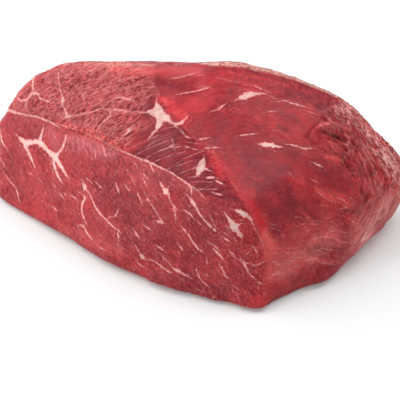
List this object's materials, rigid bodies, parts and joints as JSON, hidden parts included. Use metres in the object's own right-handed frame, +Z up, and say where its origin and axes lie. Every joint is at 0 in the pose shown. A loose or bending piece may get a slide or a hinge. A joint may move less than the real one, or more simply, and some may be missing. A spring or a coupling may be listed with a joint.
{
  "type": "sirloin tip roast",
  "caption": "Boneless block of raw beef with a broad marbled cut face, a seam between two muscles, a smooth sloping top and a torn end, lying on a flat underside.",
  "frame": {"origin": "middle of the bounding box, on the flat underside", "axes": "+X along the length of the block, towards the torn end; the broad marbled cut face looks to -Y; +Z up"},
  "size_m": [0.212, 0.136, 0.082],
  "materials": {
    "raw_beef": "satin"
  },
  "bodies": {
    "root": {"roast": "raw_beef"}
  },
  "joints": []
}
